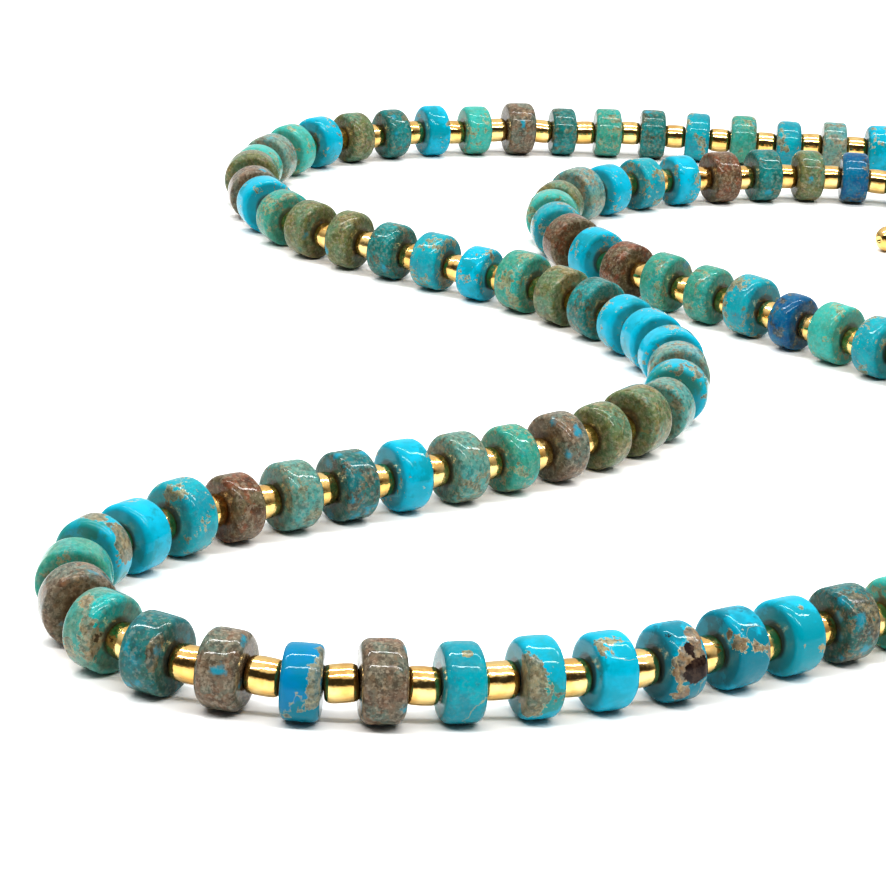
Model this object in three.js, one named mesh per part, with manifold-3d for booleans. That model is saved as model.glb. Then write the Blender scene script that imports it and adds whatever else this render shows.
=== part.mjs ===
// A beaded necklace, lying on a table as one whole fastened loop.
// Disc-shaped stones and small gold beads take turns on a string. The string comes in two nodes that meet
// end to end. A plain clasp joins its two ends, and a short tail of chain with an end bead hangs from it.
// Millimetres, +Z up. The origin is at the middle of the necklace, on the table.

import * as THREE from "three";
import { mergeVertices } from "three/addons/utils/BufferGeometryUtils.js";
import Module from "manifold-3d";

const wasm = await Module();
wasm.setup();

// Beads
const STONE_DIAMETER = 5.8;
const STONE_THICKNESS = 2.95;
const STONE_EDGE = 0.5;
const SEED_DIAMETER = 2.75;
const SEED_LENGTH = 2.41;
const BEAD_SIDES = 10;

// The stones are cut by hand, so their sizes vary. These shares of the two sizes above repeat along the string.
const STONE_RUN = [
  { wide: 1.01, thick: 0.97 },
  { wide: 0.99, thick: 1.02 },
  { wide: 0.99, thick: 1.03 },
  { wide: 0.95, thick: 0.95 },
  { wide: 1.04, thick: 1.08 },
  { wide: 0.98, thick: 1.0 },
  { wide: 1.01, thick: 0.95 },
  { wide: 0.98, thick: 0.99 },
  { wide: 1.0, thick: 1.03 },
];

// String ends and clasp
const CRIMP_DIAMETER = 2.4;
const CRIMP_SEAT = 0.15;
const LOOP_DIAMETER = 3.4;
const WIRE_DIAMETER = 0.64;
const LOOP_SINK = 0.3;
const LOOP_SIDES = 12;
const WIRE_SIDES = 6;
const CLASP_WIDTH = 4.6;
const CLASP_BAR = 0.8;
const CLASP_EYE = 3.2;
const CLASP_BEVEL = 0.2;
const CLASP_ROUND_STEPS = 6;

// Tail of chain
const TAIL_LENGTH = 26.0;
const TAIL_HEADING = 217;
const TAIL_SETBACK = 4.4;
const LINK_SIDES = 10;
const LINK_WIRE_SIDES = 5;
const LINK_TOUCH = 0.24;
const TAIL_BEAD_DIAMETER = 2.8;
const EYE_WIRE = 0.5;
const EYE_SINK = 0.25;
const PIECE_GAP = 0.3;

// Where the middle of the string lies on the table, from the end on the far strand, round the necklace, to
// the end on the near strand. A smooth curve runs through these chosen points.
const ROUTE = [
  [48.0, 75.0], [45.5, 81.5], [38.0, 88.0], [22.5, 88.0], [10.5, 88.2], [-1.5, 88.5],
  [-15.5, 86.5], [-28.5, 81.5], [-39.0, 73.0], [-44.5, 60.5], [-44.0, 46.5], [-38.0, 34.0],
  [-27.0, 25.5], [-15.5, 17.5], [-7.0, 7.0], [-2.0, -6.0], [-3.0, -19.5], [-10.0, -31.0],
  [-20.5, -40.5], [-31.5, -48.5], [-42.0, -57.5], [-48.5, -69.5], [-45.0, -82.5], [-33.0, -88.5],
  [-19.0, -87.0], [-6.5, -81.5], [4.5, -73.5], [15.5, -65.0], [27.0, -56.0], [35.0, -44.0],
  [36.0, -30.0], [32.0, -16.5], [24.0, -4.5], [15.0, 5.5], [5.0, 15.5], [-5.0, 25.0],
  [-11.5, 37.5], [-11.5, 51.0], [-3.5, 62.0], [8.0, 69.0], [20.5, 72.3], [34.5, 71.0],
];

const UP = new THREE.Vector3(0, 0, 1);

const stoneMatter = new THREE.MeshStandardMaterial({ color: 0x2a9c9a, roughness: 0.25, metalness: 0.0 });
const goldMatter = new THREE.MeshStandardMaterial({ color: 0xd9a441, roughness: 0.15, metalness: 1.0 });

// A closed mesh as a solid: corners at one place are merged, and triangles with no area are dropped.
function solidOf(geometry) {
  const bare = geometry.index ? geometry.toNonIndexed() : geometry.clone();
  bare.deleteAttribute("normal");
  bare.deleteAttribute("uv");
  const merged = mergeVertices(bare, 1e-4);
  const corners = merged.index.array;
  const kept = [];
  for (let i = 0; i < corners.length; i += 3) {
    const [a, b, c] = [corners[i], corners[i + 1], corners[i + 2]];
    if (a !== b && b !== c && c !== a) kept.push(a, b, c);
  }
  return new wasm.Manifold(new wasm.Mesh({
    numProp: 3,
    vertProperties: merged.attributes.position.array,
    triVerts: new Uint32Array(kept),
  }));
}

function joined(geometries) {
  return geometries.map(solidOf).reduce((whole, next) => whole.add(next));
}

function meshOf(solid, material, name) {
  const raw = solid.getMesh();
  const geometry = new THREE.BufferGeometry();
  geometry.setAttribute("position", new THREE.BufferAttribute(new Float32Array(raw.vertProperties), 3));
  geometry.setIndex(new THREE.BufferAttribute(new Uint32Array(raw.triVerts), 1));
  geometry.computeVertexNormals();
  const mesh = new THREE.Mesh(geometry, material);
  mesh.name = name;
  return mesh;
}

// A pose whose Y axis points along a direction, with its Z axis as near to up as that allows.
function poseAlong(centre, direction) {
  const along = direction.clone().normalize();
  const side = new THREE.Vector3().crossVectors(along, UP).normalize();
  const top = new THREE.Vector3().crossVectors(side, along);
  return new THREE.Matrix4().makeBasis(side, along, top).setPosition(centre);
}

// A body of revolution about its Y axis, with a flat side at the top and the bottom. Radii are measured to
// the flats, so that the facets touch the real round outline from outside.
function turned(profile, sides) {
  const toCorner = 1 / Math.cos(Math.PI / sides);
  const points = profile.map(([radius, height]) => new THREE.Vector2(radius * toCorner, height));
  return new THREE.LatheGeometry(points, sides, Math.PI / sides);
}

// A string of beads is turned straight, from the radii of all its sections, and then each section is laid in
// its own pose along the route.
function turnedAlong(sections, sides) {
  const shape = turned(sections.map((section) => [section.radius, 0]), sides);
  const corner = new THREE.Vector3();
  const position = shape.attributes.position;
  for (let i = 0; i < position.count; i += 1) {
    const { centre, along } = sections[i % sections.length];
    corner.fromBufferAttribute(position, i).applyMatrix4(poseAlong(centre, along));
    position.setXYZ(i, corner.x, corner.y, corner.z);
  }
  return shape;
}

function ball(centre, diameter, sides) {
  const rows = sides / 2;
  const profile = [];
  for (let row = 0; row <= rows; row += 1) {
    const angle = Math.PI * (row / rows - 0.5);
    profile.push([row % rows ? Math.cos(angle) * diameter / 2 : 0, Math.sin(angle) * diameter / 2]);
  }
  return turned(profile, sides).applyMatrix4(new THREE.Matrix4().setPosition(centre));
}

// A ring of round wire. Its plane holds the given direction, and is upright or flat on the table.
function ring(centre, direction, upright, diameter, wire, sides, wireSides) {
  const shape = new THREE.TorusGeometry((diameter - wire) / 2, wire / 2, wireSides, sides);
  const along = direction.clone().setZ(0).normalize();
  const side = new THREE.Vector3().crossVectors(UP, along);
  const basis = new THREE.Matrix4();
  if (upright) basis.makeBasis(along, UP, side.negate());
  else basis.makeBasis(along, side, UP);
  return shape.applyMatrix4(basis.setPosition(centre));
}

// The route as a curve on the table, and the stones on it at even steps.
const curve = new THREE.CatmullRomCurve3(
  ROUTE.map(([x, y]) => new THREE.Vector3(x, y, 0)), false, "catmullrom", 0.5);
curve.arcLengthDivisions = 4000;
const routeLength = curve.getLength();
const stoneCount = 1 + Math.round((routeLength - STONE_THICKNESS) / (STONE_THICKNESS + SEED_LENGTH));
const stoneStep = (routeLength - STONE_THICKNESS) / (stoneCount - 1);

const stones = [];
for (let i = 0; i < stoneCount; i += 1) {
  const share = STONE_RUN[i % STONE_RUN.length];
  const place = (STONE_THICKNESS / 2 + i * stoneStep) / routeLength;
  const rim = STONE_DIAMETER * share.wide / 2;
  const half = STONE_THICKNESS * share.thick / 2;
  const along = curve.getTangentAt(place).setZ(0).normalize();
  const centre = curve.getPointAt(place).setZ(rim);
  stones.push({ rim, half, along, centre });
}

// The sections of one stone: bevelled at both rims, and standing on the table by its own radius.
function stoneSections(bead) {
  const section = (radius, shift) => ({
    radius,
    along: bead.along,
    centre: bead.centre.clone().addScaledVector(bead.along, shift),
  });
  return [
    section(bead.rim - STONE_EDGE, -bead.half),
    section(bead.rim, -bead.half + STONE_EDGE),
    section(bead.rim, bead.half - STONE_EDGE),
    section(bead.rim - STONE_EDGE, bead.half),
  ];
}

// The two sections of the gold bead between two stones, one on each of the faces that it touches.
function seedSections(before, after, endGap) {
  const radius = SEED_DIAMETER / 2;
  return [
    { radius, along: before.along, centre: faceCentre(before, 1) },
    { radius, along: after.along, centre: faceCentre(after, -1).addScaledVector(after.along, -endGap) },
  ];
}

function faceCentre(bead, end) {
  return bead.centre.clone().addScaledVector(bead.along, end * bead.half);
}

// Stones from one number up to another, with a gold bead after each but the last. Where a next stone is
// given, the gold bead before it is added too, and stops short of it by the gap between two nodes.
function stringBody(from, to, next) {
  const sections = [];
  for (let i = from; i < to; i += 1) {
    sections.push(...stoneSections(stones[i]));
    if (i + 1 < to) sections.push(...seedSections(stones[i], stones[i + 1], 0));
  }
  if (next) sections.push(...seedSections(stones[to - 1], next, PIECE_GAP));
  const first = { ...sections[0], radius: 0 };
  const last = { ...sections[sections.length - 1], radius: 0 };
  return turnedAlong([first, ...sections, last], BEAD_SIDES);
}

// The gold crimp and upright loop at an end of the string. They lean down from the middle of the last stone
// to a loop that stands on the table.
function endFitting(face, outward) {
  const crimpReach = CRIMP_DIAMETER / 2 - CRIMP_SEAT;
  const loopReach = crimpReach + CRIMP_DIAMETER / 2 + LOOP_DIAMETER / 2 - LOOP_SINK;
  const loopHeight = LOOP_DIAMETER / 2;
  const crimpHeight = loopHeight + (face.z - loopHeight) * 0.5;
  const crimpCentre = face.clone().addScaledVector(outward, crimpReach).setZ(crimpHeight);
  const loopCentre = face.clone().addScaledVector(outward, loopReach).setZ(loopHeight);
  return {
    loopCentre,
    bodies: [
      ball(crimpCentre, CRIMP_DIAMETER, BEAD_SIDES),
      ring(loopCentre, outward, true, LOOP_DIAMETER, WIRE_DIAMETER, LOOP_SIDES, WIRE_SIDES),
    ],
  };
}

const firstStone = stones[0];
const lastStone = stones[stoneCount - 1];
const farEnd = endFitting(faceCentre(firstStone, -1), firstStone.along.clone().negate());
const nearEnd = endFitting(faceCentre(lastStone, 1), lastStone.along);

// The string is split halfway: the far node ends in a gold bead that stops just short of the near node.
const splitAt = Math.ceil(stoneCount / 2);
const farString = joined([stringBody(0, splitAt, stones[splitAt]), ...farEnd.bodies]);
const nearString = joined([stringBody(splitAt, stoneCount), ...nearEnd.bodies]);

// An outline with straight sides and two round ends, whose round ends are centred on the X axis.
function stadium(path, from, to, radius) {
  path.absarc(to, 0, radius, -Math.PI / 2, Math.PI / 2, false);
  path.absarc(from, 0, radius, Math.PI / 2, Math.PI * 1.5, false);
  path.closePath();
  return path;
}

// The clasp is one flat frame with an eye and a long window. Its eye's end bar passes through the near loop,
// and the far loop holds the side bar of the window, level with the middle of its round end.
const barOffset = CLASP_WIDTH / 2 - CLASP_BAR / 2;
const loopToLoop = farEnd.loopCentre.clone().sub(nearEnd.loopCentre);
const claspTurn = Math.atan2(loopToLoop.y, loopToLoop.x) - Math.asin(barOffset / loopToLoop.length());
const claspAlong = new THREE.Vector3(Math.cos(claspTurn), Math.sin(claspTurn), 0);
const claspSide = new THREE.Vector3().crossVectors(UP, claspAlong);
const claspReach = Math.sqrt(loopToLoop.lengthSq() - barOffset ** 2);

function claspBody() {
  const outer = CLASP_WIDTH / 2;
  const inner = outer - CLASP_BAR;
  const eyeRadius = CLASP_EYE / 2;
  const eyeMiddle = CLASP_BAR / 2 + eyeRadius;
  const windowStart = eyeMiddle + eyeRadius + CLASP_BAR + inner;
  const shape = stadium(new THREE.Shape(), barOffset, claspReach, outer - CLASP_BEVEL);
  const eye = new THREE.Path();
  eye.absarc(eyeMiddle, 0, eyeRadius + CLASP_BEVEL, 0, Math.PI * 2, true);
  const window = stadium(new THREE.Path(), windowStart, claspReach, inner + CLASP_BEVEL);
  shape.holes.push(eye, window);
  const plate = new THREE.ExtrudeGeometry(shape, {
    depth: CLASP_BAR - 2 * CLASP_BEVEL,
    bevelEnabled: true,
    bevelThickness: CLASP_BEVEL,
    bevelSize: CLASP_BEVEL,
    bevelSegments: 1,
    curveSegments: CLASP_ROUND_STEPS,
  });
  plate.translate(0, 0, CLASP_BEVEL - CLASP_BAR / 2);
  const pose = new THREE.Matrix4().makeBasis(claspAlong, claspSide, UP).setPosition(nearEnd.loopCentre);
  return plate.applyMatrix4(pose);
}

// The tail's round links stand upright and lie flat in turn. The first holds the clasp's other side bar,
// square across it, and is pulled outward until it is one gap from it. The others follow the tail's heading.
const linkStep = LOOP_DIAMETER - 2 * WIRE_DIAMETER + LINK_TOUCH;
const linkCount = Math.max(2, Math.round(TAIL_LENGTH / linkStep));
const tailAngle = THREE.MathUtils.degToRad(TAIL_HEADING);
const tailAlong = new THREE.Vector3(Math.cos(tailAngle), Math.sin(tailAngle), 0);
const dropAlong = claspSide.clone().negate();
const barCorner = Math.hypot(CLASP_BAR / 2, CLASP_BAR / 2 - CLASP_BEVEL);
const barSlack = LOOP_DIAMETER / 2 - WIRE_DIAMETER - barCorner - PIECE_GAP;
const firstLink = nearEnd.loopCentre.clone()
  .addScaledVector(claspAlong, claspReach - TAIL_SETBACK)
  .addScaledVector(dropAlong, barOffset + barSlack);
const secondLink = firstLink.clone().addScaledVector(dropAlong, linkStep);

function linkBody(index) {
  const centre = index ? secondLink.clone().addScaledVector(tailAlong, (index - 1) * linkStep) : firstLink;
  const along = index ? tailAlong : dropAlong;
  return ring(centre, along, index % 2 === 0, LOOP_DIAMETER, WIRE_DIAMETER, LINK_SIDES, LINK_WIRE_SIDES);
}

// The end bead hangs on the last link by a small eye, with a gap all round the link's wire.
function tailBeadBodies() {
  const eyeDiameter = WIRE_DIAMETER + 2 * PIECE_GAP + 2 * EYE_WIRE;
  const eyeReach = (linkCount - 2) * linkStep + (LOOP_DIAMETER - WIRE_DIAMETER) / 2;
  const beadReach = eyeReach + eyeDiameter / 2 + TAIL_BEAD_DIAMETER / 2 - EYE_SINK;
  const eyeCentre = secondLink.clone().addScaledVector(tailAlong, eyeReach);
  const beadCentre = secondLink.clone().addScaledVector(tailAlong, beadReach).setZ(TAIL_BEAD_DIAMETER / 2);
  return [
    ring(eyeCentre, tailAlong, linkCount % 2 === 0, eyeDiameter, EYE_WIRE, LOOP_SIDES, WIRE_SIDES),
    ball(beadCentre, TAIL_BEAD_DIAMETER, BEAD_SIDES),
  ];
}

const necklace = new THREE.Group();
necklace.add(meshOf(farString, stoneMatter, "far_string"));
necklace.add(meshOf(nearString, stoneMatter, "near_string"));
necklace.add(meshOf(solidOf(claspBody()), goldMatter, "clasp"));
necklace.add(meshOf(joined(Array.from({ length: linkCount }, (_, i) => linkBody(i))), goldMatter, "tail_chain"));
necklace.add(meshOf(joined(tailBeadBodies()), goldMatter, "tail_bead"));

// The middle of the whole box goes to the origin. The lowest stones already stand at height 0.
const box = new THREE.Box3().setFromObject(necklace);
const middle = box.getCenter(new THREE.Vector3());
necklace.position.set(-middle.x, -middle.y, -box.min.z);

export default necklace;
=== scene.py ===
# %% [markdown]
# # A beaded necklace on a white table
#
# Disc-shaped stones and small gold beads take turns on a string that lies in two curves on the table. The
# imported model gives the frame: every size and place below is in that frame, in metres, so no piece has to
# be fitted by eye afterwards. We load it first.

import bpy
import numpy as np
from mathutils import Matrix, Vector


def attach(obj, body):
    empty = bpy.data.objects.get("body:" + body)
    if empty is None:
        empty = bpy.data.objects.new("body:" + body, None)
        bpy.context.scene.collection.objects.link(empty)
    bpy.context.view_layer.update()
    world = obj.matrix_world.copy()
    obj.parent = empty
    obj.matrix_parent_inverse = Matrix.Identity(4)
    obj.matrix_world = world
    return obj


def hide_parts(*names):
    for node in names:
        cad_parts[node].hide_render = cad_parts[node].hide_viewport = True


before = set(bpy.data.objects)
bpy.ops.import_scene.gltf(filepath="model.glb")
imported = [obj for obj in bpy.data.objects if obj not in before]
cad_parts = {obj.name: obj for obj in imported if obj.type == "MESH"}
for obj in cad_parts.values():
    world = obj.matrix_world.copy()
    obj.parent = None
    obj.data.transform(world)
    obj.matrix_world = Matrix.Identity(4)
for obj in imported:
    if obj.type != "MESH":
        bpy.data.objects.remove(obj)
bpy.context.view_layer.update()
MM = 0.001
print("nodes:", sorted(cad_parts))

# %% [markdown]
# ## The camera
#
# The camera comes first, because everything else is judged through it. The picture was taken from a little
# above the table with a long lens, and the camera leaned a few degrees sideways. A camera in Blender looks
# along its own -Z axis, so we build its three axes as columns of a matrix: right, up and backwards.

# %% Camera
CAMERA_PLACE = np.array([-22.20, -296.98, 88.0]) * MM
CAMERA_PITCH = np.radians(18.0)
CAMERA_ROLL = np.radians(3.6)
PICTURE_SIZE = 886
FOCAL_PIXELS = 3310
SENSOR = 36.0

camera_data = bpy.data.cameras.new("camera")
camera_data.sensor_width = SENSOR
camera_data.lens = FOCAL_PIXELS / PICTURE_SIZE * SENSOR
camera_data.clip_start = 0.01
camera_data.clip_end = 20.0
camera = bpy.data.objects.new("camera", camera_data)
bpy.context.scene.collection.objects.link(camera)
level = np.array([1.0, 0.0, 0.0])
lifted = np.array([0.0, np.sin(CAMERA_PITCH), np.cos(CAMERA_PITCH)])
forward = np.array([0.0, np.cos(CAMERA_PITCH), -np.sin(CAMERA_PITCH)])
right = np.cos(CAMERA_ROLL) * level + np.sin(CAMERA_ROLL) * lifted
up = -np.sin(CAMERA_ROLL) * level + np.cos(CAMERA_ROLL) * lifted
pose = Matrix.Identity(4)
for column, axis in enumerate((right, up, -forward, CAMERA_PLACE)):
    for row in range(3):
        pose[row][column] = axis[row]
camera.matrix_world = pose
bpy.context.scene.camera = camera
print("lens in mm:", round(camera_data.lens, 1))

# %% [markdown]
# ## The route of the string
#
# The string is a smooth curve through chosen points. Between two points we use a Catmull-Rom piece: it
# leaves each point in the direction from the point before to the point after, so the whole line has no
# corner. We sample it finely and add up the short steps, which gives the length from the start to every
# sample. With that table we can ask for the point at any length.

# %% Route and its length
ROUTE = np.array([
    [48.0, 75.0], [45.5, 81.5], [38.0, 88.0], [22.5, 88.0], [10.5, 88.2], [-1.5, 88.5],
    [-15.5, 86.5], [-28.5, 81.5], [-39.0, 73.0], [-44.5, 60.5], [-44.0, 46.5], [-38.0, 34.0],
    [-27.0, 25.5], [-15.5, 17.5], [-7.0, 7.0], [-2.0, -6.0], [-3.0, -19.5], [-10.0, -31.0],
    [-20.5, -40.5], [-31.5, -48.5], [-42.0, -57.5], [-48.5, -69.5], [-45.0, -82.5], [-33.0, -88.5],
    [-19.0, -87.0], [-6.5, -81.5], [4.5, -73.5], [15.5, -65.0], [27.0, -56.0], [35.0, -44.0],
    [36.0, -30.0], [32.0, -16.5], [24.0, -4.5], [15.0, 5.5], [5.0, 15.5], [-5.0, 25.0],
    [-11.5, 37.5], [-11.5, 51.0], [-3.5, 62.0], [8.0, 69.0], [20.5, 72.3], [34.5, 71.0],
])
ROUTE_SHIFT = np.array([0.2985, 0.0240])
SAMPLES = 4000


def route_samples(points, count):
    """Evenly spaced parameters t on the whole curve, as points and slopes.

    On the piece from p1 to p2, with u from 0 to 1 and end slopes m1 = (p2 - p0) / 2 and m2 = (p3 - p1) / 2:
    point = (2u^3 - 3u^2 + 1) p1 + (u^3 - 2u^2 + u) m1 + (3u^2 - 2u^3) p2 + (u^3 - u^2) m2.
    """
    before = 2 * points[0] - points[1]
    after = 2 * points[-1] - points[-2]
    padded = np.vstack([before, points, after])
    t = np.linspace(0, len(points) - 1, count + 1)
    piece = np.minimum(t.astype(int), len(points) - 2)
    u = (t - piece)[:, None]
    p0, p1, p2, p3 = (padded[piece + i] for i in range(4))
    m1, m2 = (p2 - p0) / 2, (p3 - p1) / 2
    place = (2 * u**3 - 3 * u**2 + 1) * p1 + (u**3 - 2 * u**2 + u) * m1
    place = place + (3 * u**2 - 2 * u**3) * p2 + (u**3 - u**2) * m2
    slope = (6 * u**2 - 6 * u) * p1 + (3 * u**2 - 4 * u + 1) * m1
    slope = slope + (6 * u - 6 * u**2) * p2 + (3 * u**2 - 2 * u) * m2
    return place, slope / np.linalg.norm(slope, axis=1, keepdims=True)


route_place, route_slope = route_samples(ROUTE + ROUTE_SHIFT, SAMPLES)
steps = np.linalg.norm(np.diff(route_place, axis=0), axis=1)
route_length = np.concatenate([[0], np.cumsum(steps)])
print("length of the string in mm:", round(route_length[-1], 1))


def at_length(lengths):
    """The point and the direction of the route at given lengths from its start, each as rows of x, y."""
    place = np.stack([np.interp(lengths, route_length, route_place[:, i]) for i in range(2)], -1)
    slope = np.stack([np.interp(lengths, route_length, route_slope[:, i]) for i in range(2)], -1)
    return place, slope / np.linalg.norm(slope, axis=-1, keepdims=True)


# %% [markdown]
# ## Where each stone and each gold bead sits
#
# The stones follow each other at one even step. They are cut by hand, so their widths and thicknesses vary
# a little; nine pairs of shares repeat along the string. Each stone stands on the table by its own rim. A
# frame of three directions goes with each bead: along the string, to its right, and up. One stone at the
# left bend is turned further than the string runs there, so it gets a turn of its own, in degrees.

# %% Beads in their places
STONE_DIAMETER = 5.8
STONE_THICKNESS = 2.95
SEED_DIAMETER = 2.75
SEED_LENGTH = 2.41
STONE_WIDE = np.array([1.01, 0.99, 0.99, 0.95, 1.04, 0.98, 1.01, 0.98, 1.0])
STONE_THICK = np.array([0.97, 1.02, 1.03, 0.95, 1.08, 1.0, 0.95, 0.99, 1.03])
TURNED = {54: 12.0}

whole = route_length[-1]
stone_count = 1 + int(round((whole - STONE_THICKNESS) / (STONE_THICKNESS + SEED_LENGTH)))
number = np.arange(stone_count)
stone_step = (whole - STONE_THICKNESS) / (stone_count - 1)
rim = STONE_DIAMETER / 2 * STONE_WIDE[number % len(STONE_WIDE)]
half = STONE_THICKNESS / 2 * STONE_THICK[number % len(STONE_THICK)]
flat_place, flat_slope = at_length(STONE_THICKNESS / 2 + number * stone_step)
stone_place = np.column_stack([flat_place, rim])


def bead_frames(along):
    """Columns along, side and top for each bead: side = along x up, top = side x along.

    The three are mirror-wise, like a left hand, which ring_faces allows for.
    """
    along = along / np.linalg.norm(along, axis=-1, keepdims=True)
    side = np.cross(along, [0.0, 0.0, 1.0])
    side = side / np.linalg.norm(side, axis=-1, keepdims=True)
    return np.stack([along, side, np.cross(side, along)], axis=-1)


turned = np.zeros(stone_count)
turned[list(TURNED)] = np.radians(list(TURNED.values()))
stone_along = np.column_stack([flat_slope[:, 0] * np.cos(turned) - flat_slope[:, 1] * np.sin(turned),
                               flat_slope[:, 0] * np.sin(turned) + flat_slope[:, 1] * np.cos(turned),
                               np.zeros(stone_count)])
stone_frame = bead_frames(stone_along)
print("stones:", stone_count, "step in mm:", round(stone_step, 3))

# %% [markdown]
# ## One way to make all round beads
#
# A bead with a hole is a ring: its section is a closed line that runs out over one face, along the rim, back
# over the other face and home through the hole. Carried round the axis it closes in both directions, so it
# has no pole and no seam. All beads of one kind share the same section, so they can be worked out together
# as one big array with an axis for the bead, one for the place on the section and one for the turn.

# %% Beads as turned rings
def carried_round(section, turns, frames, places):
    """Points of every bead: place + along * x + r * (side * cos(turn) + top * sin(turn)).

    section has the shape (beads, points, turns, 2) or one that spreads to it, with x and r last. The second
    result is the same points before they are moved, as along, side and top.
    """
    x, r = section[..., 0:1], section[..., 1:2]
    cos, sin = np.cos(turns)[:, None], np.sin(turns)[:, None]
    local = np.concatenate([x + 0 * cos, r * cos, r * sin], axis=-1)
    world = np.einsum("bij,bstj->bsti", frames, local)
    return world + places[:, None, None, :], local


def ring_faces(beads, rows, columns):
    """Four corners for each face of grids closed in rows and columns, in the order that faces outwards."""
    i, j = np.meshgrid(np.arange(rows), np.arange(columns), indexing="ij")
    down, next_turn = (i + 1) % rows, (j + 1) % columns
    quads = np.stack([i * columns + j, down * columns + j, down * columns + next_turn,
                      i * columns + next_turn], -1).reshape(-1, 4)
    return (quads[None] + (np.arange(beads) * rows * columns)[:, None, None]).reshape(-1, 4)


def make_piece(name, points, faces, material, nodes, attributes=None):
    """A smooth mesh object in metres from points in mm, riding on the necklace and standing for nodes.

    attributes holds values for each vertex: four numbers make a colour, three make a vector.
    """
    mesh = bpy.data.meshes.new(name)
    points = np.ascontiguousarray(points.reshape(-1, 3) * MM, dtype=np.float32)
    faces = np.ascontiguousarray(faces, dtype=np.int32)
    mesh.vertices.add(len(points))
    mesh.vertices.foreach_set("co", points.ravel())
    mesh.loops.add(faces.size)
    mesh.loops.foreach_set("vertex_index", faces.ravel())
    mesh.polygons.add(len(faces))
    mesh.polygons.foreach_set("loop_start", np.arange(0, faces.size, faces.shape[1], dtype=np.int32))
    mesh.update(calc_edges=True)
    mesh.polygons.foreach_set("use_smooth", np.ones(len(faces), dtype=bool))
    for key, values in (attributes or {}).items():
        kind = "FLOAT_COLOR" if values.shape[-1] == 4 else "FLOAT_VECTOR"
        field = "color" if kind == "FLOAT_COLOR" else "vector"
        layer = mesh.attributes.new(key, kind, "POINT")
        layer.data.foreach_set(field, np.ascontiguousarray(values, dtype=np.float32).ravel())
    mesh.materials.append(material)
    piece = bpy.data.objects.new(name, mesh)
    bpy.context.scene.collection.objects.link(piece)
    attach(piece, "root")
    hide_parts(*nodes)
    print(name, "triangles:", len(faces) * (faces.shape[1] - 2))


# %% [markdown]
# ## Shader maths as expressions
#
# Node setups are hard to read as a list of links. A small class that wraps a socket and knows +, -, * and
# the like lets us write a mask as a formula, and Blender still gets plain Math nodes. Every other node comes
# from one method that sets its options first and then its inputs.

# %% Sockets that can be added and multiplied
class Wire:
    """The output of a node, which can be used in a formula."""

    def __init__(self, sheet, socket):
        self.sheet, self.socket = sheet, socket

    def math(self, operation, *others):
        inputs = dict(enumerate((self, *others)))
        return self.sheet.node("ShaderNodeMath", {"operation": operation}, inputs)[0]

    def __add__(self, other):
        return self.math("ADD", other)

    def __sub__(self, other):
        return self.math("SUBTRACT", other)

    def __mul__(self, other):
        return self.math("MULTIPLY", other)

    def __rsub__(self, other):
        return self.math("MULTIPLY", -1.0).math("ADD", other)

    __radd__, __rmul__ = __add__, __mul__

    def __abs__(self):
        return self.math("ABSOLUTE")

    def over(self, edge, width):
        """0 below the edge, 1 above it, with a smooth step of the given width."""
        settings = {"interpolation_type": "SMOOTHSTEP"}
        inputs = {"Value": self, "From Min": edge - width / 2, "From Max": edge + width / 2}
        return self.sheet.node("ShaderNodeMapRange", settings, inputs)[0]


class Sheet:
    """One node tree, in which every node is made by the method node."""

    def __init__(self, tree):
        self.tree = tree
        tree.nodes.clear()

    def node(self, kind, settings=None, inputs=None):
        """A new node with its settings, then its inputs as values or wires. Gives its outputs as wires."""
        made = self.tree.nodes.new(kind)
        for key, value in (settings or {}).items():
            setattr(made, key, value)
        for key, value in (inputs or {}).items():
            socket = made.inputs[key]
            if isinstance(value, Wire):
                self.tree.links.new(value.socket, socket)
            else:
                socket.default_value = value
        return [Wire(self, out) for out in made.outputs if out.enabled]

    def mix(self, share, a, b):
        """Colour a where share is 0 and colour b where it is 1."""
        return self.node("ShaderNodeMix", {"data_type": "RGBA"}, {0: share, 6: a, 7: b})[0]

    def noise(self, place, scale, detail, rough=0.55):
        """Soft noise as a number around 0.5, and as a colour of three such numbers."""
        inputs = {"Vector": place, "Scale": scale, "Detail": detail, "Roughness": rough}
        return self.node("ShaderNodeTexNoise", {}, inputs)

    def shifted(self, place, offset):
        return self.node("ShaderNodeVectorMath", {"operation": "ADD"}, {0: place, 1: offset})[0]


def new_material(name):
    """A material with an empty node tree, and the sheet to fill it."""
    material = bpy.data.materials.new(name)
    material.use_nodes = True
    return material, Sheet(material.node_tree)


def tone(code, alpha=1.0):
    """A colour written as six hex digits, turned into linear light, with a fourth number beside it."""
    share = np.array([int(code[i:i + 2], 16) for i in (0, 2, 4)]) / 255
    linear = np.where(share <= 0.04045, share / 12.92, ((share + 0.055) / 1.055) ** 2.4)
    return (*[float(v) for v in linear], alpha)


print("white is", tone("FFFFFF"))

# %% [markdown]
# ## Polished gold
#
# The small beads are plated and polished, so they are almost a mirror: what we see on them is the white
# room and the dark side where the camera stands. The metal itself only tints it. Real plating is never
# quite even, so the gloss varies slightly and a weak, broad bump makes the reflections run a little.

# %% Gold material
gold, sheet = new_material("gold")
place = sheet.node("ShaderNodeTexCoord")[3]
broad = sheet.noise(place, 620.0, 3.0)[0]
fine = sheet.noise(place, 2600.0, 3.0)[0]
warm = sheet.mix(broad.over(0.5, 0.3), tone("EFCF8C"), tone("DFB066"))
rough = 0.08 + 0.12 * fine.over(0.55, 0.4)
bump = sheet.node("ShaderNodeBump", {}, {"Strength": 0.6, "Distance": 0.00012, "Height": broad})[0]
shader = sheet.node("ShaderNodeBsdfPrincipled", {}, {
    "Base Color": warm, "Metallic": 1.0, "Roughness": rough, "Normal": bump})[0]
sheet.node("ShaderNodeOutputMaterial", {}, {"Surface": shader})
print("nodes in the gold:", len(gold.node_tree.nodes))

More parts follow.
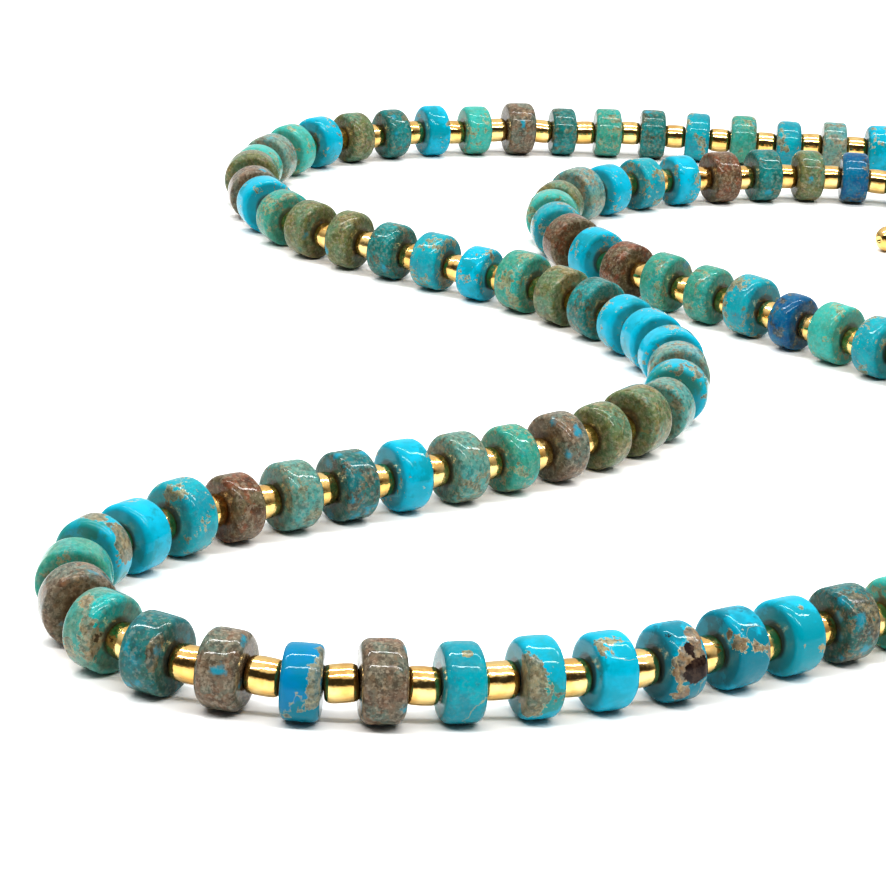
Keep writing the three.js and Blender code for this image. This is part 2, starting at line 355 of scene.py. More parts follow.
# %% [markdown]
# ## Polished stone in many colours
#
# Every disc is cut from the same kind of rock, a mix of turquoise and blue stone with brown, tan and cream
# matrix in it, and no two discs look alike. One material serves them all. Each vertex carries the three
# colours of its own stone and how much of each there is, the marks of its stone, how far it lies from the
# axis, and a place inside the rock. The patterns are solid, so they run over the rims and across the faces
# as in a real cut stone. All of them come from a few noises, coarse and fine, each read at its own corner.

# %% Stone material and its noises
stone, sheet = new_material("stone")


def carried(name):
    return sheet.node("ShaderNodeAttribute", {"attribute_name": name})


main_color, _, _, second_share = carried("main")
second_color, _, _, grain_share = carried("second")
matrix_color, _, _, matrix_share = carried("matrix")
_, marks, _, seam = carried("marks")
lean, crust, dark = sheet.node("ShaderNodeSeparateXYZ", {}, {0: marks})
vein_share, spot_share, radius = sheet.node("ShaderNodeSeparateXYZ", {}, {0: carried("habit")[1]})
rock = carried("rock")[1]


def part_of_rock(scale, detail, rough, offset, place=rock):
    """A noise read at its own far corner of the rock, so that no two of them follow each other."""
    return sheet.noise(sheet.shifted(place, (offset, offset * 0.7, -offset)), scale, detail, rough)[0]


drift = sheet.noise(rock, 0.9, 2.0)[1]
bent = sheet.node("ShaderNodeVectorMath", {"operation": "MULTIPLY_ADD"},
                  {0: drift, 1: (1.0,) * 3, 2: rock})[0]
patch = part_of_rock(0.34, 2.0, 0.5, 3.0, bent)
crumb = part_of_rock(0.5, 2.5, 0.5, 17.0, bent)
cloud = part_of_rock(0.7, 3.0, 0.6, 29.0)
fray = part_of_rock(2.4, 4.0, 0.65, 41.0) - 0.5
mottle = part_of_rock(1.5, 5.0, 0.72, 53.0)
speck = part_of_rock(2.2, 4.0, 0.7, 67.0)
crystal = part_of_rock(2.9, 3.0, 0.7, 79.0)
print("nodes in the stone so far:", len(stone.node_tree.nodes))

# %% [markdown]
# ### Ground colours, matrix and grain
#
# The ground is the main colour with clouds and patches of the second one. Over it lies the matrix, the brown
# crust that grew between the pieces of stone: its edge is torn, and it has cream and dark lumps. Last comes
# the grain, in three sizes. Turquoise is smooth and has nearly none, and the brown stones are full of it.

# %% Ground, matrix and grain
CREAM_LUMP, DARK_LUMP = tone("9C8E6C"), tone("33261A")
GRIT, CRYSTAL = tone("2A221C"), tone("AEA38E")

patchy = patch + lean * (3 * crumb - 0.5) + (mottle - 0.5) * 0.5 + fray * 0.22
second_mask = patchy.over(0.76 - second_share * 0.52, 0.1)
torn = (mottle - 0.5) * (1.0 + 0.8 * abs(crust))
edge = crumb + crust * (3 * crumb - 0.5) + torn + fray * 0.55 - (0.75 - matrix_share * 0.5)
matrix_mask = edge.over(0.0, 0.05)
color = sheet.mix(cloud.over(0.5, 0.3) * 0.55, main_color, second_color)
color = sheet.mix(second_mask, color, second_color)
crusty = sheet.mix(cloud.over(0.52, 0.16) * 0.42, matrix_color, CREAM_LUMP)
crusty = sheet.mix(mottle.over(0.57, 0.1) * 0.55, crusty, DARK_LUMP)
color = sheet.mix(matrix_mask, color, crusty)
gritty = grain_share + matrix_mask * (0.8 - 0.8 * grain_share)
blend = sheet.mix(0.5, second_color, matrix_color)
color = sheet.mix(gritty * mottle.over(0.5, 0.22) * 0.65, color, blend)
color = sheet.mix(gritty * speck.over(0.53, 0.14) * 0.56, color, GRIT)
color = sheet.mix(gritty * crystal.over(0.56, 0.14) * 0.28, color, CRYSTAL)
print("nodes in the stone so far:", len(stone.node_tree.nodes))

# %% [markdown]
# ### Spots, lines, inclusions, painted shade and gloss
#
# Some brown stones have small blue spots, and some turquoise ones a pale border round the matrix, or a fine
# line that was once a crack. A few stones have a dark inclusion. The flat faces are rougher than the polished
# rim, and their colour gets a painted shade for the shade that the gold bead and the next stone cast there,
# darker brown round the hole; both go by the distance from the axis. The polish is even, and a very weak bump
# only keeps the bright lines on the rims from being perfect.

# %% Spots, lines, inclusions, painted shade and gloss
SPOT, BORDER, SEAM = tone("0C8094"), tone("C4B78E"), tone("B4A57A")
INCLUSION, INCLUSION_LUMP = tone("1C100D"), tone("45362C")
# Colours of painted shade: the flat faces and, darker, the ring round the hole.
FACE_SHADE, HOLE_SHADE = tone("3A3826"), tone("35281A")

spot_cells = sheet.node("ShaderNodeTexVoronoi", {}, {"Vector": bent, "Scale": 0.6})
round_spot, spot_color = spot_cells[:2]
chosen = sheet.node("ShaderNodeSeparateColor", {}, {0: spot_color})[0]
spots = (1 - (round_spot + fray * 0.5).over(0.26, 0.26)) * chosen.over(1.02 - spot_share * 0.8, 0.02)
color = sheet.mix(spots * 0.8, color, SPOT)
border = 1 - abs(edge + 0.005).over(0.014, 0.02)
color = sheet.mix(border * vein_share * cloud.over(0.46, 0.2), color, BORDER)
drawn = 1 - abs(seam + (crumb - 0.5) * 1.1 + fray * 0.3 - 0.5).over(0.016, 0.05)
seam_color = sheet.mix(0.45, SEAM, matrix_color)
color = sheet.mix(drawn * (0.3 + 0.6 * mottle.over(0.47, 0.2)), color, seam_color)
core = (dark + (mottle - 0.5) * 1.6 + fray * 0.5).over(0.5, 0.1)
inclusion = sheet.mix(speck.over(0.52, 0.16) * 0.6, INCLUSION, INCLUSION_LUMP)
color = sheet.mix(core, color, inclusion)
# Painted shade on the flat faces, where the gold bead and the next stone shade them. The same mask makes the
# faces rougher below.
face = 1 - radius.over(0.84, 0.1)
color = sheet.mix(face * 0.3, color, FACE_SHADE)
# Painted shade round the hole, where the gold bead presses against the stone's face.
painted_hole_shade = (1 - radius.over(0.5, 0.14)) * 0.75
color = sheet.mix(painted_hole_shade, color, HOLE_SHADE)
rough = 0.06 + 0.1 * matrix_mask + 0.14 * face
bump = sheet.node("ShaderNodeBump", {}, {
    "Strength": 0.8, "Distance": 0.00004, "Height": crumb + fray * 0.1})[0]
shader = sheet.node("ShaderNodeBsdfPrincipled", {}, {
    "Base Color": color, "Roughness": rough, "IOR": 1.55, "Specular IOR Level": 0.14, "Normal": bump})[0]
sheet.node("ShaderNodeOutputMaterial", {}, {"Surface": shader})
print("nodes in the stone:", len(stone.node_tree.nodes))

# %% [markdown]
# ## Which stone has which colours
#
# The rock comes in a few recurring looks. Each look names a main colour, a second colour and the colour of
# the matrix, and then how much there is of the second colour, of grain, of matrix, of pale borders and of
# blue spots. A list gives the look of each stone along the string, in the order of the photo.

# %% Looks of the stones
LOOKS = {
    "sky": ("009AB4", "00808E", "8A7F5C", 0.35, 0.02, 0.12, 0.6, 0.0),
    "cobalt": ("006C94", "006A7C", "5A6258", 0.3, 0.02, 0.15, 0.5, 0.0),
    "teal": ("008E98", "007A88", "80764E", 0.45, 0.2, 0.25, 0.6, 0.0),
    "aqua": ("2E9C92", "348A7C", "7F8A66", 0.4, 0.3, 0.25, 0.3, 0.0),
    "deep": ("0A5650", "107A7A", "4A4630", 0.35, 0.6, 0.3, 0.0, 0.2),
    "jade": ("2F7F6A", "1F8880", "7C7A54", 0.4, 0.5, 0.3, 0.2, 0.1),
    "grey": ("64806F", "40868A", "7C7058", 0.4, 0.7, 0.4, 0.2, 0.2),
    "taupe": ("68503E", "526258", "70503A", 0.45, 1.0, 0.3, 0.0, 0.36),
    "olive": ("5E5E34", "44705A", "74643A", 0.4, 0.8, 0.35, 0.0, 0.1),
    "moss": ("285A50", "186468", "463E2E", 0.42, 0.66, 0.36, 0.0, 0.9),
    "rust": ("6E3C26", "5C5642", "4A281C", 0.4, 0.9, 0.3, 0.0, 0.0),
    "sage": ("52786A", "3C8480", "6E684C", 0.4, 0.8, 0.3, 0.0, 0.0),
    "split": ("0094AC", "1E7A78", "6E6650", 0.4, 0.06, 0.36, 0.6, 0.0),
    "patched": ("4C7666", "00928E", "7C6A50", 0.3, 0.55, 0.36, 0.4, 0.0),
    "veined": ("0092AA", "006A7A", "7A6046", 0.42, 0.04, 0.3, 1.0, 0.0),
    "navy": ("06466E", "06607E", "22323A", 0.4, 0.25, 0.3, 0.0, 0.3),
}
SEQUENCE = (
    "teal grey jade moss aqua sky grey teal jade teal "
    "deep jade deep taupe aqua sky deep olive sky aqua "
    "grey aqua olive taupe sky jade olive olive deep teal "
    "sky jade olive deep sky sky sky grey split sage "
    "olive olive taupe jade sage sky moss sage rust teal "
    "sky split jade taupe patched moss taupe cobalt taupe teal "
    "split sky veined veined sky moss aqua teal olive sky "
    "taupe jade cobalt deep grey sky moss teal rust veined "
    "olive aqua teal aqua navy teal jade jade rust sky "
    "rust teal aqua olive grey sky teal sky rust deep "
    "olive navy deep sky"
).split()
print("looks given:", len(SEQUENCE), "for", stone_count, "stones")


def look_rows(column, share):
    """For each stone a colour of its look, with one of its shares as the fourth number."""
    return np.array([tone(LOOKS[look][column], LOOKS[look][share]) for look in SEQUENCE])


# %% [markdown]
# ## The stones
#
# A disc has a soft round edge, a rim that is almost straight, and flat faces. Cutting by hand leaves it a
# little out of round and thicker on one side. These slips only ever take stone away from the true round
# disc, so each stone stays inside its outline, and it is then let down until it stands on the table.

# %% Stone shapes
TURNS = 44
HOLE = 0.45
FACE_RINGS = np.array([HOLE, 0.9, 1.4, 1.9])
ROUND_STEPS = 6
CROWN_STEPS = 7
CROWN = 0.02
random = np.random.default_rng(7)
edge_radius = random.uniform(0.4, 0.8, stone_count)


def stone_section(half, rim, edge_radius):
    """The closed section of each stone as x and r, from the hole's edge outwards and home again.

    A quarter round of the stone's own edge radius joins each face to the rim. The rim is crowned a little:
    r = rim + CROWN * (1 - across^2).
    """
    quarter = np.linspace(0, np.pi / 2, ROUND_STEPS)
    h, R, e = half[:, None], rim[:, None], edge_radius[:, None]
    left_face = np.stack(np.broadcast_arrays(-h, FACE_RINGS[None]), -1)
    left_round = np.stack([-h + e - e * np.cos(quarter), R - e + e * np.sin(quarter)], -1)
    across = np.linspace(-0.75, 0.75, CROWN_STEPS)
    crown = np.stack([(h - e) * across, R + CROWN * (1 - across**2) + 0 * h], -1)
    half_section = np.concatenate([left_face, left_round], axis=1)
    other = half_section[:, ::-1] * np.array([-1.0, 1.0])
    inside = np.stack([h * np.array([0.5, -0.5]), HOLE + 0 * h * np.ones(2)], -1)
    return np.concatenate([half_section, crown, other, inside], axis=1)


def hand_cut(section, turns, rim):
    """Out of round: r * (1 - a (1 + cos 2(turn - p)) / 2 - b (1 + cos 3(turn - q)) / 4), away from the hole.

    And thinner on one side: x * (1 - wedge * r / rim * (1 + cos(turn - w)) / 2).
    """
    count = len(section)
    a, b = random.uniform(0.005, 0.04, (2, count, 1, 1))
    p, q, w = random.uniform(0, 2 * np.pi, (3, count, 1, 1))
    wedge = random.uniform(0.0, 0.07, (count, 1, 1))
    t = turns[None, None, :]
    x, r = section[..., 0][..., None], section[..., 1][..., None]
    slip = 1 - a * (1 + np.cos(2 * (t - p))) / 2 - 0.5 * b * (1 + np.cos(3 * (t - q))) / 2
    reach = r / rim[:, None, None]
    thin = 1 - wedge * reach * (1 + np.cos(t - w)) / 2
    return np.stack(np.broadcast_arrays(x * thin, r * np.where(r > 1, slip, 1.0)), -1)


turns = np.linspace(0, 2 * np.pi, TURNS, endpoint=False)
stone_cut = hand_cut(stone_section(half, rim, edge_radius), turns, rim)
stone_points, stone_local = carried_round(stone_cut, turns, stone_frame, stone_place)
drop = stone_points[..., 2].min(axis=(1, 2))
stone_points[..., 2] -= drop[:, None, None]
print("one stone has", 2 * stone_points.shape[1] * TURNS, "triangles, lowered by up to",
      round(float(drop.max()), 3), "mm")

# %% [markdown]
# ## Marks on single stones
#
# The stones of the front row are seen so well that most show features of their own. A mark is a soft blob at
# a place on one stone. It can pull in the second colour (lean) or the matrix (crust), put in a dark inclusion
# (dark), or draw a pale line round itself where it has faded to one half (seam). A negative amount keeps its
# kind away. Each row gives the kind, the place, the reach in mm and the amount. A place is x from -1 at one
# face to 1 at the other, the share of the radius, and the turn in degrees from the top over towards the
# string's right, which in the front row is towards the camera.

# %% Marks
CLEAR_CRUST = ("crust", 0, 0, 0, 6.0, -0.4)
CLEAR_LEAN = ("lean", 0, 0, 0, 6.0, -0.4)
MARKS = {
    49: [("seam", 0.2, 1.0, 40, 1.6, 1.0), ("lean", 0.8, 1.0, 100, 1.2, -0.5)],
    50: [CLEAR_CRUST, ("seam", -0.6, 1.0, 40, 2.2, 1.0)],
    51: [CLEAR_CRUST, ("crust", -0.2, 1.0, 0, 1.5, 0.9), ("crust", -0.2, 1.0, 75, 1.5, 0.9),
         ("crust", -0.2, 1.0, -70, 1.5, 0.9), ("crust", 1.1, 0.6, 10, 1.4, -0.9)],
    52: [CLEAR_CRUST, ("crust", 1.0, 0.75, 30, 0.9, 0.7), ("crust", 1.0, 0.75, 75, 0.9, 0.7)],
    53: [("lean", -0.6, 1.0, 20, 1.6, 0.4), ("lean", -0.6, 1.0, 80, 1.6, 0.4),
         ("lean", 1.0, 0.5, 60, 2.0, -0.4)],
    54: [CLEAR_CRUST, CLEAR_LEAN, ("lean", 1.0, 0.9, 15, 1.3, 1.2), ("lean", 1.1, 0.9, 55, 0.9, 0.9),
         ("crust", -0.1, 1.0, 28, 0.9, 0.8), ("crust", 0.7, 1.0, 62, 0.7, 0.8),
         ("crust", 1.1, 0.7, 95, 1.3, 0.8), ("crust", -0.5, 1.0, 105, 1.1, 0.6),
         ("dark", 1.1, 0.7, 80, 0.6, 0.8)],
    55: [CLEAR_CRUST, ("crust", 1.2, 1.0, 50, 0.9, 1.0), ("crust", 1.2, 1.0, 85, 0.9, 1.0),
         ("lean", -0.1, 1.0, 88, 0.6, 0.5)],
    56: [("crust", 0.2, 1.0, 60, 2.4, -0.3)],
    57: [CLEAR_CRUST, ("crust", 1.0, 1.0, 80, 0.8, 2.0), ("crust", 1.0, 1.0, 12, 0.7, 2.0),
         ("crust", 0.95, 1.0, 45, 0.85, 2.0), ("crust", 0.7, 1.0, 98, 0.45, 1.0),
         ("crust", 0.1, 1.0, 112, 0.4, 0.8), ("crust", -0.5, 1.0, 128, 0.45, 0.8),
         ("seam", 0.9, 1.0, 140, 2.9, 1.0), ("lean", 0.3, 1.0, 125, 1.4, 0.5)],
    59: [CLEAR_CRUST, ("crust", -1.1, 1.0, 60, 0.7, 0.6), ("crust", 0.1, 1.0, 25, 0.5, 0.6),
         ("dark", -0.4, 1.0, 72, 0.4, 0.5), ("seam", 0.9, 1.0, 130, 1.8, 1.0),
         ("lean", 0.0, 1.0, 20, 1.0, 0.5)],
    60: [CLEAR_CRUST, CLEAR_LEAN, ("crust", -1.3, 0.8, 60, 1.2, 1.4), ("crust", -1.3, 0.8, 115, 1.2, 1.3),
         ("crust", -0.3, 1.0, 62, 0.7, 0.15), ("crust", 0.3, 1.0, 100, 1.2, 0.34),
         ("lean", 0.0, 1.0, 100, 1.5, 0.9)],
    61: [CLEAR_CRUST, CLEAR_LEAN, ("crust", -0.7, 1.0, 28, 1.0, 0.62), ("crust", 0.1, 1.0, 20, 0.7, 0.55),
         ("seam", 0.0, 1.0, 36, 0.8, 0.9), ("seam", 0.8, 1.0, 44, 0.8, 0.9),
         ("lean", -1.1, 0.7, 60, 1.0, 0.5)],
    62: [CLEAR_CRUST, ("dark", 0.0, 1.0, 84, 0.8, 1.3), ("dark", 0.45, 1.0, 80, 0.7, 1.1),
         ("dark", -0.1, 1.0, 48, 0.45, 1.1), ("dark", -1.0, 1.0, 25, 0.55, 0.9),
         ("crust", 0.5, 1.0, 25, 0.75, 0.8), ("crust", -0.9, 1.0, 80, 0.9, 0.9),
         ("crust", -0.2, 1.0, 66, 1.2, 0.7), ("crust", -0.4, 1.0, 120, 0.7, 0.8),
         ("seam", 0.1, 1.0, 72, 1.9, 1.0), ("seam", 0.0, 1.0, 130, 0.9, 1.0),
         ("lean", -0.2, 1.0, 120, 1.8, 0.7)],
    63: [CLEAR_CRUST, ("crust", -1.1, 0.8, 45, 1.0, 0.6), ("crust", -0.8, 1.0, 58, 0.7, 0.4),
         ("crust", -0.1, 1.0, 70, 0.4, 0.62), ("crust", 0.35, 1.0, 75, 0.35, 0.62),
         ("crust", 0.95, 1.0, 80, 0.5, 0.8), ("seam", -0.1, 1.0, 50, 0.75, 0.95),
         ("seam", 0.5, 1.0, 56, 0.75, 0.95), ("lean", -0.9, 1.0, 110, 1.3, 0.9)],
    64: [CLEAR_CRUST, ("crust", 0.0, 1.0, 20, 0.35, 0.7), ("crust", -0.6, 1.0, 84, 0.3, 0.6),
         ("crust", 0.4, 1.0, 92, 0.35, 0.7), ("crust", 0.9, 1.0, 98, 0.5, 0.8),
         ("lean", 0.4, 1.0, 104, 0.9, 0.8), ("lean", -1.0, 0.6, 80, 1.6, 0.9)],
    65: [("lean", -0.4, 1.0, 20, 0.7, 0.7), ("crust", 0.2, 1.0, 80, 1.6, 0.4)],
}
KINDS = ("lean", "crust", "dark", "seam")


def mark_fields():
    """For each vertex the sum over marks of amount * exp(-(distance / reach)^2), one column for each kind."""
    sums = np.zeros((*stone_local.shape[:3], len(KINDS)))
    for stone_number, rows in MARKS.items():
        for kind, x, share, degrees, reach, amount in rows:
            turn = np.radians(degrees)
            radius = share * rim[stone_number]
            middle = np.array([x * half[stone_number], radius * np.sin(turn), radius * np.cos(turn)])
            distance = np.linalg.norm(stone_local[stone_number] - middle, axis=-1)
            sums[stone_number, ..., KINDS.index(kind)] += amount * np.exp(-((distance / reach) ** 2))
    return sums


print("marks:", sum(len(rows) for rows in MARKS.values()), "on", len(MARKS), "stones")

# %% [markdown]
# ## The stones as pieces
#
# Each stone is cut from its own far place in the rock, which a random shift gives it, so that no pattern
# comes back. With the marks, the colours and the shares this makes six attributes, which the material reads.
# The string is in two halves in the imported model, and the stones follow it: one piece for each half.

# %% Stones
ROCK_REACH = 40
rock_shift = random.uniform(-ROCK_REACH, ROCK_REACH, (stone_count, 1, 1, 3))
spread = np.ones((*stone_local.shape[:3], 1))
habit = np.array([LOOKS[look][6:8] for look in SEQUENCE])
out_share = np.linalg.norm(stone_local[..., 1:], axis=-1, keepdims=True) / rim[:, None, None, None]
stone_data = {
    "main": look_rows(0, 3)[:, None, None, :] * spread,
    "second": look_rows(1, 4)[:, None, None, :] * spread,
    "matrix": look_rows(2, 5)[:, None, None, :] * spread,
    "marks": mark_fields(),
    "habit": np.concatenate([habit[:, None, None, :] * spread, out_share], axis=-1),
    "rock": stone_local + rock_shift,
}
SPLIT = int(np.ceil(stone_count / 2))
rows, columns = stone_points.shape[1:3]
for side, part in {"far": slice(0, SPLIT), "near": slice(SPLIT, stone_count)}.items():
    faces = ring_faces(part.stop - part.start, rows, columns)
    make_piece(side + "_stones", stone_points[part], faces, stone, [side + "_string"],
               {key: values[part] for key, values in stone_data.items()})

# %% [markdown]
# ## The gold beads
#
# Between two stones sits a small gold bead shaped like a barrel: nearly straight along its middle, rounded
# at its ends, with a hole. Each one fills the space between the middles of two faces, so its length follows
# from the stones beside it. The thread is thinner than the holes, so each bead hangs down by a small random
# amount.

# %% Seed beads
SEED_TURNS = 30
SEED_HOLE = 0.55
SEED_RINGS = np.array([0.4, 0.64, 0.77, 0.86, 0.92, 0.97, 1.0])
SEED_SAG = 0.3


def face_middle(end):
    """The middle of each stone's face at its start (end = -1) or at its end (end = 1)."""
    return stone_place + stone_frame[..., 0] * (end * half)[:, None]


seed_from, seed_to = face_middle(1)[:-1], face_middle(-1)[1:]
seed_axis = seed_to - seed_from
seed_half = np.linalg.norm(seed_axis, axis=1) / 2
seed_place = (seed_from + seed_to) / 2
seed_place[:, 2] -= random.uniform(0.0, SEED_SAG, stone_count - 1)
seed_frame = bead_frames(seed_axis)


def seed_section(half, radius):
    """A barrel closed through its hole: r = radius * (1 - 0.05 s^2 - 0.19 s^8), s from -1 to 1 along it."""
    s = np.concatenate([-SEED_RINGS[::-1], [0.0], SEED_RINGS])
    r = radius * (1 - 0.05 * s**2 - 0.19 * s**8)
    outer = np.stack(np.broadcast_arrays(half[:, None] * s, r), -1)
    hole_ends = np.array([0.97, -0.97])
    inner = np.stack(np.broadcast_arrays(half[:, None] * hole_ends, SEED_HOLE), -1)
    return np.concatenate([outer, inner], axis=1)[:, :, None, :]


seed_turns = np.linspace(0, 2 * np.pi, SEED_TURNS, endpoint=False)
barrels = seed_section(seed_half, SEED_DIAMETER / 2)
seed_points, _ = carried_round(barrels, seed_turns, seed_frame, seed_place)
rows, columns = seed_points.shape[1:3]
for side, part in {"far": slice(0, SPLIT), "near": slice(SPLIT, stone_count - 1)}.items():
    faces = ring_faces(part.stop - part.start, rows, columns)
    make_piece(side + "_seeds", seed_points[part], faces, gold, [side + "_string"])

# %% [markdown]
# ## Crimps and end loops
#
# At each end of the string a gold crimp closes over the last stone's thread, and a small wire loop stands
# upright beyond it to take the clasp. The crimp is a round bead with a hole and the loop a ring of round
# wire, so both are closed rings like the other beads.

# %% Round shapes for the fittings
CRIMP_DIAMETER = 2.4
CRIMP_SEAT = 0.15
LOOP_DIAMETER = 3.4
WIRE_DIAMETER = 0.64
LOOP_SINK = 0.3
RING_STEPS, WIRE_STEPS = 36, 14
ROUND_BEAD_HOLE = 0.5
FALL_STEPS, ROUND_BEAD_TURNS = 16, 28


def round_bead(centre, axis, diameter):
    """x = -R cos(fall), r = R sin(fall), from one rim of the hole to the other, carried round the axis."""
    first = np.arcsin(ROUND_BEAD_HOLE / diameter)
    fall = np.linspace(first, np.pi - first, FALL_STEPS)
    section = np.stack([-np.cos(fall), np.sin(fall)], -1)[None, :, None, :] * diameter / 2
    turn = np.linspace(0, 2 * np.pi, ROUND_BEAD_TURNS, endpoint=False)
    points, _ = carried_round(section, turn, bead_frames(np.array([axis])), np.array([centre]))
    return points.reshape(-1, 3), ring_faces(1, FALL_STEPS, ROUND_BEAD_TURNS)


def ring(centre, direction, upright, diameter, wire):
    """A torus: (R + w cos(b)) in the plane of the ring at angle a, and w sin(b) across that plane."""
    along = np.array([direction[0], direction[1], 0.0])
    along = along / np.linalg.norm(along)
    top = np.array([0.0, 0.0, 1.0])
    side = np.cross(top, along)
    second, across = (top, np.cross(along, top)) if upright else (side, top)
    a = np.linspace(0, 2 * np.pi, RING_STEPS, endpoint=False)[:, None, None]
    b = np.linspace(0, 2 * np.pi, WIRE_STEPS, endpoint=False)[None, :, None]
    out = along * np.cos(a) + second * np.sin(a)
    reach = (diameter - wire) / 2 + wire / 2 * np.cos(b)
    points = centre + out * reach + across * (wire / 2 * np.sin(b))
    return points.reshape(-1, 3), ring_faces(1, RING_STEPS, WIRE_STEPS)


def make_joined(name, bodies, nodes):
    """Beads and rings in one gold piece: each body's faces count on from the points before it."""
    starts = np.cumsum([0] + [len(points) for points, _ in bodies[:-1]])
    points = np.concatenate([points for points, _ in bodies])
    faces = np.concatenate([faces + start for (_, faces), start in zip(bodies, starts)])
    make_piece(name, points, faces, gold, nodes)


def end_fitting(face, outward):
    """Centres of crimp and loop beyond the middle of a face, the crimp halfway down to the loop."""
    crimp_reach = CRIMP_DIAMETER / 2 - CRIMP_SEAT
    loop_reach = crimp_reach + CRIMP_DIAMETER / 2 + LOOP_DIAMETER / 2 - LOOP_SINK
    crimp = face + outward * crimp_reach
    loop = face + outward * loop_reach
    loop[2] = LOOP_DIAMETER / 2
    crimp[2] = (face[2] + loop[2]) / 2
    return crimp, loop


far_crimp, far_loop = end_fitting(face_middle(-1)[0], -stone_along[0])
near_crimp, near_loop = end_fitting(face_middle(1)[-1], stone_along[-1])
for side, crimp, loop, outward in (("far", far_crimp, far_loop, -stone_along[0]),
                                   ("near", near_crimp, near_loop, stone_along[-1])):
    bodies = [round_bead(crimp, outward, CRIMP_DIAMETER),
              ring(loop, outward, True, LOOP_DIAMETER, WIRE_DIAMETER)]
    make_joined(side + "_end", bodies, [side + "_string"])

# %% [markdown]
# ## The tail of chain
#
# The links stand upright and lie flat in turn, and each passes through its neighbours. The first goes round
# the side bar of the clasp. A small eye joins the end bead to the last link.

# %% Tail chain and end bead
CLASP_WIDTH = 4.6
CLASP_BAR = 0.8
CLASP_BEVEL = 0.2
PIECE_GAP = 0.3
TAIL_LENGTH = 26.0
TAIL_HEADING = np.radians(217)
TAIL_SETBACK = 4.4
LINK_TOUCH = 0.24
TAIL_BEAD_DIAMETER = 2.8
EYE_WIRE = 0.5
EYE_SINK = 0.25

bar_offset = CLASP_WIDTH / 2 - CLASP_BAR / 2
span = far_loop - near_loop
clasp_turn = np.arctan2(span[1], span[0]) - np.arcsin(bar_offset / np.linalg.norm(span))
clasp_along = np.array([np.cos(clasp_turn), np.sin(clasp_turn), 0.0])
clasp_side = np.cross([0.0, 0.0, 1.0], clasp_along)
clasp_reach = np.sqrt(span @ span - bar_offset**2)
link_step = LOOP_DIAMETER - 2 * WIRE_DIAMETER + LINK_TOUCH
link_count = max(2, round(TAIL_LENGTH / link_step))
tail_along = np.array([np.cos(TAIL_HEADING), np.sin(TAIL_HEADING), 0.0])
bar_corner = np.hypot(CLASP_BAR / 2, CLASP_BAR / 2 - CLASP_BEVEL)
bar_slack = LOOP_DIAMETER / 2 - WIRE_DIAMETER - bar_corner - PIECE_GAP
first_link = near_loop + clasp_along * (clasp_reach - TAIL_SETBACK) - clasp_side * (bar_offset + bar_slack)
second_link = first_link - clasp_side * link_step
links = [ring(first_link, -clasp_side, True, LOOP_DIAMETER, WIRE_DIAMETER)]
for index in range(1, link_count):
    centre = second_link + tail_along * (index - 1) * link_step
    links.append(ring(centre, tail_along, index % 2 == 0, LOOP_DIAMETER, WIRE_DIAMETER))
make_joined("tail_links", links, ["tail_chain"])

eye_diameter = WIRE_DIAMETER + 2 * PIECE_GAP + 2 * EYE_WIRE
eye_reach = (link_count - 2) * link_step + (LOOP_DIAMETER - WIRE_DIAMETER) / 2
bead_reach = eye_reach + eye_diameter / 2 + TAIL_BEAD_DIAMETER / 2 - EYE_SINK
bead_centre = second_link + tail_along * bead_reach
bead_centre[2] = TAIL_BEAD_DIAMETER / 2
eye = ring(second_link + tail_along * eye_reach, tail_along, link_count % 2 == 0, eye_diameter, EYE_WIRE)
make_joined("end_bead", [eye, round_bead(bead_centre, tail_along, TAIL_BEAD_DIAMETER)], ["tail_bead"])
print("end bead at", bead_centre.round(2), "mm")

# %% [markdown]
# ## The clasp
#
# The clasp lies outside the picture, so it is a plain flat frame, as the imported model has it. Its shape is
# right already. It keeps its own mesh and gets the gold.

# %% Clasp
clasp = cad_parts["clasp"]
clasp.data.materials.clear()
clasp.data.materials.append(gold)
print("clasp keeps its", len(clasp.data.polygons), "faces")

# %% [markdown]
# ## The table
#
# The necklace lies on a plain white sheet that runs on past the picture. One large flat square does for it,
# with a faint unevenness in its white. It is stage and no part of the necklace.

# %% Table
FLOOR_HALF = 3.0

floor_material, sheet = new_material("table")
place = sheet.node("ShaderNodeTexCoord")[3]
cloud = sheet.noise(place, 9.0, 3.0)[0]
color = sheet.mix(cloud, tone("F6F6F5"), tone("FAFAF9"))
shader = sheet.node("ShaderNodeBsdfPrincipled", {}, {"Base Color": color, "Roughness": 0.4})[0]
sheet.node("ShaderNodeOutputMaterial", {}, {"Surface": shader})
floor_mesh = bpy.data.meshes.new("table")
corners = [(-1, -1), (1, -1), (1, 1), (-1, 1)]
floor_mesh.from_pydata([(x * FLOOR_HALF, y * FLOOR_HALF, 0.0) for x, y in corners], [], [(0, 1, 2, 3)])
floor_mesh.materials.append(floor_material)
floor = bpy.data.objects.new("table", floor_mesh)
bpy.context.scene.collection.objects.link(floor)
print("table in m:", 2 * FLOOR_HALF)

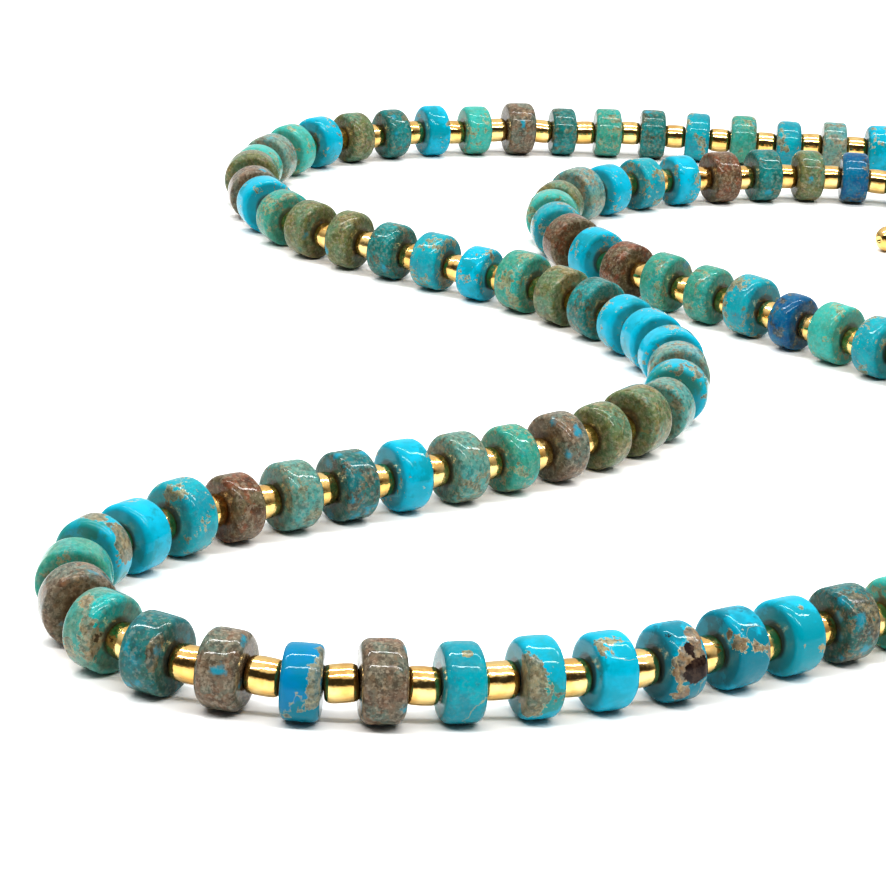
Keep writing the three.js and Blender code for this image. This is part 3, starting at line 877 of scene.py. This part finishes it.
# %% [markdown]
# ## The light
#
# The picture looks as if it was taken in a small white tent. The roof is its brightest part, the side walls
# are dimmer, and the open front, where the camera stands, shows as a dark band in the gold. The world stands
# for the tent, with a brightness that is a formula on the direction: x to the right, y away, z up. Two thin
# tubes over the necklace draw two fine bright lines on every polished rim, and two long narrow lights stand
# for them. A look with a little more contrast finishes the picture, as in the photo.

# %% Light
WALL_LIGHT = 0.78
ROOF_LIGHT = 0.95
SIDE_LIGHT = 0.35
OPENING_LIGHT = 0.05
TUBE_DISTANCE = 0.5
TUBE_LENGTH, TUBE_WIDTH = 0.9, 0.022
TUBE_POWER = 2.9
TUBE_AIM = Vector((0.0, -0.06, 0.0))

world = bpy.data.worlds.new("tent")
bpy.context.scene.world = world
world.use_nodes = True
sheet = Sheet(world.node_tree)
direction = sheet.node("ShaderNodeTexCoord")[0]
x, y, z = sheet.node("ShaderNodeSeparateXYZ", {}, {0: direction})
opening = z.over(0.12, 0.1) * (1 - z.over(0.72, 0.1)) * (1 - y.over(-0.35, 0.3))
side_wall = abs(x).over(0.6, 0.5) * (1 - z.over(0.45, 0.5))
wall = WALL_LIGHT + (ROOF_LIGHT - WALL_LIGHT) * z.over(0.6, 0.5) + (SIDE_LIGHT - WALL_LIGHT) * side_wall
brightness = wall + (OPENING_LIGHT - wall) * opening
background = sheet.node("ShaderNodeBackground", {}, {
    "Color": (1.0, 1.0, 1.0, 1.0), "Strength": brightness})[0]
sheet.node("ShaderNodeOutputWorld", {}, {"Surface": background})


def tube_light(name, elevation):
    """A long thin light across the view, at an angle above the front horizon, facing the necklace."""
    data = bpy.data.lights.new(name, "AREA")
    data.shape = "RECTANGLE"
    data.size, data.size_y = TUBE_LENGTH, TUBE_WIDTH
    data.energy = TUBE_POWER
    light = bpy.data.objects.new(name, data)
    bpy.context.scene.collection.objects.link(light)
    arm = Vector((0.0, -np.cos(elevation), np.sin(elevation)))
    light.location = TUBE_AIM + arm * TUBE_DISTANCE
    light.rotation_euler = arm.to_track_quat("Z", "Y").to_euler()
    print(name, "at", [round(v, 3) for v in light.location], "m")


tube_light("front_tube", np.radians(65))
tube_light("back_tube", np.radians(106))
bpy.context.scene.view_settings.view_transform = "Standard"
bpy.context.scene.view_settings.look = "Medium High Contrast"
